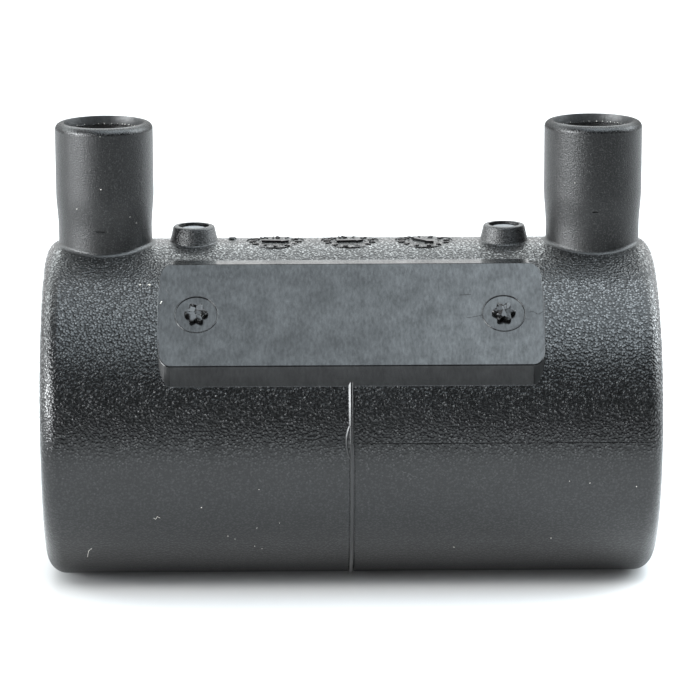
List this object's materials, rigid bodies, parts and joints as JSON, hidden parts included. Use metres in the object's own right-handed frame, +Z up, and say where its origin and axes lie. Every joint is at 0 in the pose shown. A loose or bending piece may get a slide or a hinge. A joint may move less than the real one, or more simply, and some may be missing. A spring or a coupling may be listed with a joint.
{
  "type": "electrofusion socket coupler",
  "caption": "Black plastic coupling sleeve that welds two pipe ends by its built-in heating coil, with two shrouded contact pins and two fusion indicators.",
  "frame": {"origin": "on the pipe bore's axis, half way along the body", "axes": "+X along the bore, +Z up through the two terminals, and the sloping plate faces the front at -Y"},
  "size_m": [0.081, 0.0454, 0.0613],
  "materials": {
    "moulding": "black polyethylene, grained above the seam and smoother below it",
    "wire": "bare copper alloy resistance wire",
    "contact": "turned brass",
    "indicator": "black polyethylene, cut end"
  },
  "bodies": {
    "root": {"body": "moulding", "heating_coil": "wire", "contact_pin_left": "contact", "contact_pin_right": "contact", "indicator_pin_left": "indicator", "indicator_pin_right": "indicator"}
  },
  "joints": []
}
